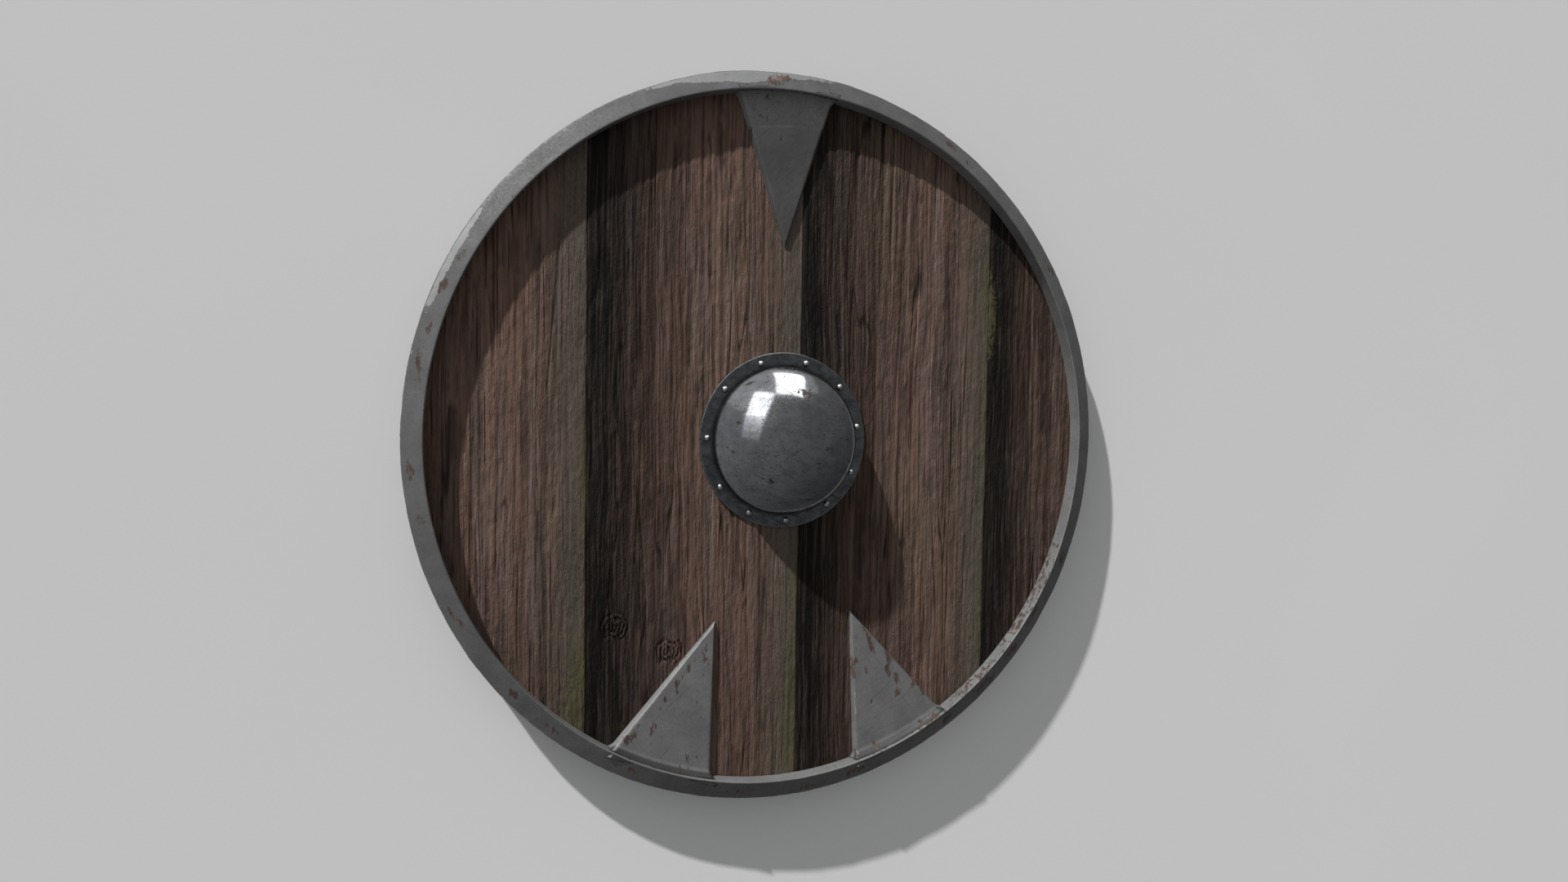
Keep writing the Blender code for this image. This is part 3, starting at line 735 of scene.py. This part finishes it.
def rim_shares(bearing, r, z):
    """Shares of bare metal and painted sheen, and of rust, and the steel's lightness, with painted light and
    shade in it.
    """
    front = rounded_step(z, 0.034, 0.040)
    rust = 0.0
    for spot, radius, size in RUST_SPOTS:
        off = (bearing - spot + 180) % 360 - 180
        rust = rust + bell(off, 0, size) * bell(r, radius, 0.004) * front
    inner = rounded_step(r, CREST_RADIUS + 0.001, CREST_RADIUS) * rounded_step(z, 0.028, 0.033)
    rust = rust + 0.55 * inner * facing_bearing(bearing, 135, 0.75, 0.97)
    # Painted light makes the inner wall lighter, and painted shade makes the lower right darker; the upper
    # left is darker too.
    low = facing_bearing(bearing, 155, 0.25, 0.80)
    left = facing_bearing(bearing, -46, 0.80, 0.95)
    tone_and_painted_light = (1 + 0.75 * inner) * (1 - 0.16 * low * (1 - inner)) * (1 - 0.24 * left)
    return {"wear": rim_wear_and_sheen(bearing, r, front), "rust": 0.92 * np.clip(rust, 0, 1), "tone_and_painted_light": tone_and_painted_light}


def build_rim(look):
    profile = np.array(rim_profile())
    bearing = np.arange(RIM_SEGMENTS)[:, None] * 360 / RIM_SEGMENTS
    bearing = (bearing + 180) % 360 - 180
    r = np.repeat(profile[None, :, 0], RIM_SEGMENTS, 0)
    z = np.repeat(profile[None, :, 1], RIM_SEGMENTS, 0)
    attributes = {key: values.reshape(-1) for key, values in rim_shares(bearing, r, z).items()}
    out, up = rim_push(bearing, r, z)
    r, z = r + out, z + up
    angle = np.radians(bearing)
    points = np.stack([r * np.sin(angle), r * np.cos(angle), z], -1).reshape(-1, 3)
    columns = len(profile)
    faces = grid_faces(RIM_SEGMENTS, columns, wrap=True)
    last = (RIM_SEGMENTS - 1) * columns
    for column in range(columns):
        following = (column + 1) % columns
        faces.append((last + column, last + following, following, column))
    rim = new_piece("rim_and_wedges", points.tolist(), faces, attributes)
    combine(rim, [wedge_plate(*wedge, number) for number, wedge in enumerate(WEDGES)], "UNION")
    finish_piece(rim, look, "rim", 38)


# Wedges

# A wedge's side from the boards up to its face, as shares of the side's run and of the height
WEDGE_SIDE = ((0.0, 0.0), (0.25, 0.25), (0.5, 0.5), (0.75, 0.75), (0.93, 0.90), (1.10, 0.975), (1.35, 1.0))
WEDGE_FACE_COLUMNS = 25
WEDGE_FLARE_LENGTH = 0.007
WEDGE_FLARE_WIDTH = 0.0055

# Each wedge's share of bare metal and painted highlight along one edge, and of rust
WEDGE_WEAR_AND_SHEEN = (0.1, 0.42, 0.60)
WEDGE_RUST = (0.35, 0.95, 0.55)


def wedge_section(v, half_width):
    """The wedge's height at the distance v from the middle, and its section as points across and up."""
    corner = sqrt(CREST_RADIUS**2 - half_width**2)
    along = v - WEDGE_TIP_RADIUS
    spread = (half_width - WEDGE_TIP_WIDTH / 2) / (corner - WEDGE_TIP_RADIUS)
    flare = min(max((v - corner) / WEDGE_FLARE_LENGTH + 1, 0.0), 1.0)
    wide = WEDGE_TIP_WIDTH / 2 + spread * along + WEDGE_FLARE_WIDTH * (1 - sqrt(1 - 0.998 * flare**2))
    rise = (WEDGE_BASE_HEIGHT - WEDGE_TIP_HEIGHT) / (CREST_RADIUS - WEDGE_TIP_RADIUS)
    height = min(WEDGE_TIP_HEIGHT + rise * along, wide / WEDGE_SIDE_RUN * 0.98)
    run = WEDGE_SIDE_RUN * height * 0.74
    inner = min(WEDGE_SIDE[-1][0] * run - wide, -0.00005)
    side = []
    for place, (run_share, height_share) in enumerate(WEDGE_SIDE[:-1]):
        apart = 0.00001 * (len(WEDGE_SIDE) - place)
        side.append((min(run_share * run - wide, inner - apart), height_share * height))
    side.append((inner, height))
    face = [(inner * (1 - 2 * k / WEDGE_FACE_COLUMNS), height) for k in range(1, WEDGE_FACE_COLUMNS)]
    return height, side + face + [(-u, h) for u, h in reversed(side)]


def wedge_lift(u, v, h, height):
    """How far the rounding into the rim's wall raises a point of the wedge."""
    gap = CREST_RADIUS + RIM_SHEET / 4 - hypot(u, v)
    if h <= height * 0.6 or gap >= WEDGE_FILLET:
        return 0.0
    share = 1 - sqrt(1 - (1 - max(gap, 0.0) / WEDGE_FILLET) ** 2)
    return share * (CREST_Z - 0.0008 - WEDGE_BOTTOM_Z - height) * (h / height)


def inside_rim_shadow(x, y):
    """How far in Y a place on the top wedge lies inside the shadow of the rim's crest, which is higher."""
    crest_above = 0.01296
    edge_radius = CREST_RADIUS + 0.0008
    return y + SUN.y * crest_above - np.sqrt(edge_radius**2 - (x + SUN.x * crest_above) ** 2)


def wedge_plate(bearing, half_width, number):
    """A thin plate with leaning sides, which rises to the rim and is rounded into its wall."""
    corner = sqrt(CREST_RADIUS**2 - half_width**2)
    # Places along the wedge, closest together where it rises to the rim
    stations = np.concatenate([
        np.linspace(WEDGE_TIP_RADIUS, 0.235, 16),
        np.linspace(0.238, corner - 0.012, 100),
        np.linspace(corner - 0.0105, CREST_RADIUS + RIM_SHEET / 2, 24),
    ])
    points, lifts = [], []
    for v in stations:
        height, section = wedge_section(v, half_width)
        for u, h in section:
            lift = wedge_lift(u, v, h, height)
            points.append((u, v, WEDGE_BOTTOM_Z + h + lift))
            lifts.append(lift)
    rows, columns = len(stations), len(section)
    x, y, z = np.array(points).T
    dents = 0.00012 * noise(x / 0.012, y / 0.014, 60 + number)
    dents = dents + 0.00008 * noise(x / 0.004, y / 0.004, 70 + number)
    z = z + np.where(z > WEDGE_BOTTOM_Z + 0.001, dents, 0)

    # Painted light and shade: the top wedge is painted lighter inside the rim's shadow and darker where the
    # sun reaches it, so that the cast shadow hardly shows; on the other wedges painted shade darkens the
    # rounding up into the rim, which catches the sun.
    if number == 0:
        tone_and_painted_light = 0.72 + 0.92 * rounded_step(inside_rim_shadow(x, y), -0.0016, 0.0016)
    else:
        tone_and_painted_light = 1.46 * (1 - 0.74 * rounded_step(np.array(lifts), 0.0, 0.0020))
    bare_and_sheen_columns = np.isin(np.arange(columns), [columns - 7, columns - 6, columns - 5])
    attributes = {
        "wear": np.tile(np.where(bare_and_sheen_columns, WEDGE_WEAR_AND_SHEEN[number], 0.0), rows),
        "rust": WEDGE_RUST[number] * np.clip(noise(x / 0.008, y / 0.015, 80 + number) * 2.0 - 0.5, 0, 1),
        "tone_and_painted_light": np.where(z > WEDGE_BOTTOM_Z + 0.001, tone_and_painted_light, 0.8),
    }

    faces = grid_faces(rows, columns)
    faces += [tuple(range(columns)), tuple(range((rows - 1) * columns, rows * columns))]
    for row in range(rows - 1):
        a, b = row * columns, (row + 1) * columns - 1
        faces.append((a, b, b + columns, a + columns))
    turn = radians(bearing)
    turned = np.stack([x * cos(turn) + y * sin(turn), y * cos(turn) - x * sin(turn), z], -1)
    return new_piece(f"wedge_{number}", turned.tolist(), faces, attributes)


# Boss and rivets

RIVETS = 11
RIVET_HEAD_RADIUS = 0.0038
RIVET_HEAD_HEIGHT = 0.0030
RIVET_SHANK_RADIUS = 0.0020
RIVET_TAIL_RADIUS = 0.0034
RIVET_TAIL_HEIGHT = 0.0014


def turned_piece(name, profile, segments, push=None, shares=None):
    """A closed turned shape. The profile's first and last points lie on the axis."""
    r = np.array([point[0] for point in profile[1:-1]])
    z = np.array([point[1] for point in profile[1:-1]])
    angle = np.arange(segments)[:, None] * 2 * pi / segments
    x, y, z = np.broadcast_arrays(r * np.sin(angle), r * np.cos(angle), z[None, :])
    if push:
        x, y, z = push(x, y, z)
    points = np.stack([x, y, z], -1).reshape(-1, 3).tolist()
    columns = len(r)
    faces = grid_faces(segments, columns)
    last = (segments - 1) * columns
    faces += [(last + c, last + c + 1, c + 1, c) for c in range(columns - 1)]
    top, bottom = len(points), len(points) + 1
    points += [(0, 0, profile[0][1]), (0, 0, profile[-1][1])]
    for segment in range(segments):
        following = (segment + 1) % segments
        faces.append((top, segment * columns, following * columns))
        faces.append((bottom, following * columns + columns - 1, segment * columns + columns - 1))
    return new_piece(name, points, faces, shares(*np.array(points).T) if shares else {})


def boss_profile():
    """Over the dome, down to the flange, round its edge and back up inside."""
    fillet, edge = 0.0010, 0.0008
    angles = np.linspace(pi / 2, asin(fillet / DOME_HEIGHT), 44)
    outside = [(DOME_RADIUS * cos(a), FLANGE_TOP_Z + DOME_HEIGHT * sin(a)) for a in angles]
    outside += arc((outside[-1][0] + fillet, FLANGE_TOP_Z + fillet), fillet, 180, 270, 6)[1:]
    outside += [(r, FLANGE_TOP_Z) for r in (0.0866, 0.0893, 0.0925, 0.0955)]
    outside += arc((FLANGE_RADIUS - edge, FLANGE_TOP_Z - edge), edge, 90, 0, 4)
    outside += [(FLANGE_RADIUS, FLANGE_BOTTOM_Z + 0.0004), (FLANGE_RADIUS - 0.0004, FLANGE_BOTTOM_Z)]
    outside += [(0.092, FLANGE_BOTTOM_Z), (0.086, FLANGE_BOTTOM_Z)]
    inner_radius, inner_height = DOME_RADIUS - BOSS_SHEET, DOME_HEIGHT - BOSS_SHEET
    inside = [(inner_radius, FLANGE_BOTTOM_Z)]
    angles = np.linspace(0, pi / 2, 30)
    inside += [(inner_radius * cos(a), FLANGE_TOP_Z + inner_height * sin(a)) for a in angles]
    return outside + inside


def boss_push(x, y, z):
    """The dome's faint hammer marks and the flange's uneven edge."""
    r = np.hypot(x, y)
    wave = 0.00010 * noise(x / 0.022, y / 0.022, 31) * rounded_step(r, DOME_RADIUS, DOME_RADIUS - 0.011)
    edge = 0.00022 * noise(np.arctan2(x, y) * 7, 0.5, 33)
    edge = edge * rounded_step(r, FLANGE_RADIUS - 0.0037, FLANGE_RADIUS - 0.0002)
    return x * (1 + edge / FLANGE_RADIUS), y * (1 + edge / FLANGE_RADIUS), z + wave


def boss_shares(x, y, z):
    """Shares of flange, of painted shade at the base of the dome, and of the flange's rubbed edge."""
    r = np.hypot(x, y)
    foot = rounded_step(z, FLANGE_TOP_Z + 0.0084, FLANGE_TOP_Z + 0.0024)
    foot = foot * rounded_step(r, DOME_RADIUS + 0.0016, DOME_RADIUS + 0.0012) * (r > DOME_RADIUS - 0.0018)
    return {
        "flange": rounded_step(r, DOME_RADIUS - 0.0010, DOME_RADIUS - 0.0001) * (z < FLANGE_TOP_Z + 0.0016),
        "foot": foot,
        "wear": bell(r, FLANGE_RADIUS - 0.0003, 0.0009) * (z > FLANGE_BOTTOM_Z + 0.0009),
    }


def build_boss(look):
    boss = turned_piece("boss_shell", boss_profile(), BOSS_SEGMENTS, boss_push, boss_shares)
    above = FLANGE_BOTTOM_Z + 0.006
    holes = [(x, y, RIVET_HOLE_RADIUS, HOLE_SIDES, above) for x, y in node_centres("boss_rivet_")]
    combine(boss, [drill("flange_holes", holes, bottom=FLANGE_BOTTOM_Z - 0.004)], "DIFFERENCE")
    finish_piece(boss, look, "boss", 40)
    return boss


def build_rivet(number, look):
    """A rivet as in the CAD model, with a rounder head of its own size."""
    node = f"boss_rivet_{number:02d}"
    low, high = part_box(node)
    head_z, tail_z = high.z - RIVET_HEAD_HEIGHT, low.z + RIVET_TAIL_HEIGHT
    size = 1 + 0.05 * float(noise(number * 1.7, 0.3, 44))
    profile = [(RIVET_HEAD_RADIUS * size * cos(a), head_z + RIVET_HEAD_HEIGHT * sin(a))
               for a in np.linspace(pi / 2, 0, 9)]
    profile += [(RIVET_SHANK_RADIUS, head_z), (RIVET_SHANK_RADIUS, tail_z)]
    profile += [(RIVET_TAIL_RADIUS - 0.0004, tail_z), (RIVET_TAIL_RADIUS, tail_z - 0.0003)]
    profile += [(RIVET_TAIL_RADIUS, low.z + 0.0005), (RIVET_TAIL_RADIUS - 0.0005, low.z), (0.0, low.z)]
    rivet = turned_piece(f"rivet_{number:02d}", profile, 24)
    rivet.location = ((low.x + high.x) / 2, (low.y + high.y) / 2, 0)
    finish_piece(rivet, look, node, 40)
    return rivet


# Studio

SOFTBOX_DISTANCE = 1.6
FOCAL_PIXELS, IMAGE_PIXELS = 1230, 1920


def build_studio():
    """A sky that is brighter towards the upper left, and a pale floor."""
    scene = bpy.context.scene
    scene.view_settings.view_transform = "Standard"
    world = bpy.data.worlds.new("studio")
    world.use_nodes = True
    tree = world.node_tree
    direction = add_node(tree, "TexCoord").outputs["Generated"]
    dot = add_node(tree, "VectorMath", {0: direction, 1: (-0.7, 0.7, 0.0)}, operation="DOT_PRODUCT")
    limits = {"Value": dot.outputs["Value"], "From Min": -1.0, "From Max": 1.0,
              "To Min": 0.10, "To Max": 0.58}
    background = tree.nodes["Background"]
    background.inputs["Color"].default_value = (0.98, 0.99, 1.0, 1.0)
    tree.links.new(add_node(tree, "MapRange", limits).outputs["Result"], background.inputs["Strength"])
    scene.world = world

    mesh = bpy.data.meshes.new("floor")
    mesh.from_pydata([(-20, -20, 0), (20, -20, 0), (20, 20, 0), (-20, 20, 0)], [], [(0, 1, 2, 3)])
    floor = new_object("floor", mesh)
    floor.location.z = -0.0002
    look = Look("pale_floor", Roughness=1.0, Specular_IOR_Level=0.0)
    cloud = look.noise((1.5, 1.5, 1.5), detail=3)
    look.set("Base Color", look.mix(cloud, (0.66, 0.66, 0.655), (0.70, 0.70, 0.695)))
    mesh.materials.append(look.material)


def build_sun(unlit):
    """The key light. It leaves out one piece, the polished boss, which would show the sun as a white spot."""
    data = bpy.data.lights.new("key", "SUN")
    data.energy = 4.6
    data.angle = radians(1.2)
    sun = new_object("key", data)
    sun.location = SUN * 2
    sun.rotation_euler = (-SUN).to_track_quat("-Z", "Y").to_euler()
    left_out = bpy.data.collections.new("left_out")
    left_out.objects.link(unlit)
    sun.light_linking.receiver_collection = left_out
    left_out.collection_objects[0].light_linking.link_state = "EXCLUDE"


def softbox(name, direction, along, length, width, radiance, receivers):
    """A rectangular light that shines on the receivers alone. Its length lies along the given axis."""
    data = bpy.data.lights.new(name, "AREA")
    data.shape = "RECTANGLE"
    data.size, data.size_y = SOFTBOX_DISTANCE * length, SOFTBOX_DISTANCE * width
    data.energy = radiance * pi * data.size * data.size_y
    back = Vector(direction).normalized()
    side = back.cross(Vector(along)).normalized()
    turn = Matrix((side.cross(back), side, back)).transposed()
    lamp = new_object(name, data)
    place = Vector((0, 0, 0.09)) + SOFTBOX_DISTANCE * back
    lamp.matrix_world = Matrix.Translation(place) @ turn.to_4x4()
    lamp.visible_camera = False
    lamp.light_linking.receiver_collection = receivers


def build_softboxes(pieces):
    """The lights that the polished pieces reflect: a window, a strip that fades to one end, and a glow."""
    receivers = bpy.data.collections.new("polished")
    for piece in pieces:
        receivers.objects.link(piece)
    softbox("window", (0.212, 0.878, 0.429), (0.961, -0.267, 0.070), 0.48, 0.66, 5.6, receivers)
    along, length = Vector((-0.378, -0.879, 0.292)), 0.965
    for number, (share, radiance) in enumerate(((0.55, 3.0), (0.70, 0.9), (0.85, 0.6), (1.0, 0.5)), 1):
        direction = Vector((-0.466, 0.453, 0.759)) - along * length * (1 - share) / 2
        softbox(f"strip_{number}", direction, along, length * share, 0.42, radiance, receivers)
    softbox("glow", (-0.10, 0.93, 0.36), (0.99, 0.11, 0.0), 1.9, 0.7, 0.42, receivers)


def build_camera():
    """The photograph's camera, over the lying shield. The turns take the shield's frame to the camera's."""
    data = bpy.data.cameras.new("camera")
    data.sensor_width = 36
    data.lens = data.sensor_width * FOCAL_PIXELS / IMAGE_PIXELS
    data.clip_start = 0.05
    camera = new_object("camera", data)
    yaw, pitch, roll = radians(20.137), radians(2.860), radians(-0.864)
    turn = Matrix.Rotation(roll, 3, "Z") @ Matrix.Rotation(pitch, 3, "X") @ Matrix.Rotation(yaw, 3, "Y")
    seat = turn.transposed() @ Vector((-0.0168, 0.0008, 2.9102)) * CREST_RADIUS + Vector((0, 0, CREST_Z))
    camera.matrix_world = Matrix.Translation(seat) @ turn.transposed().to_4x4()
    bpy.context.scene.camera = camera


build_camera()
build_studio()
wood = wood_look()
edges = (-OUTER_RADIUS, *SEAMS_X, OUTER_RADIUS)
for number, (left, right) in enumerate(zip(edges, edges[1:]), 1):
    build_board(number, left, right, wood)
build_rim(rim_look())
boss = build_boss(boss_look())
rivet_steel = small_steel("rivet_bright", (0.34, 0.34, 0.34), 0.24)
rivets = [build_rivet(number, rivet_steel) for number in range(1, RIVETS + 1)]
build_sun(boss)
build_softboxes([boss, *rivets])
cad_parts["grip"].data.materials[0] = grip_look()
nail_steel = small_steel("nail_rough", (0.20, 0.19, 0.18), 0.5)
for name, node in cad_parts.items():
    if name.startswith("grip_nail_"):
        node.data.materials[0] = nail_steel
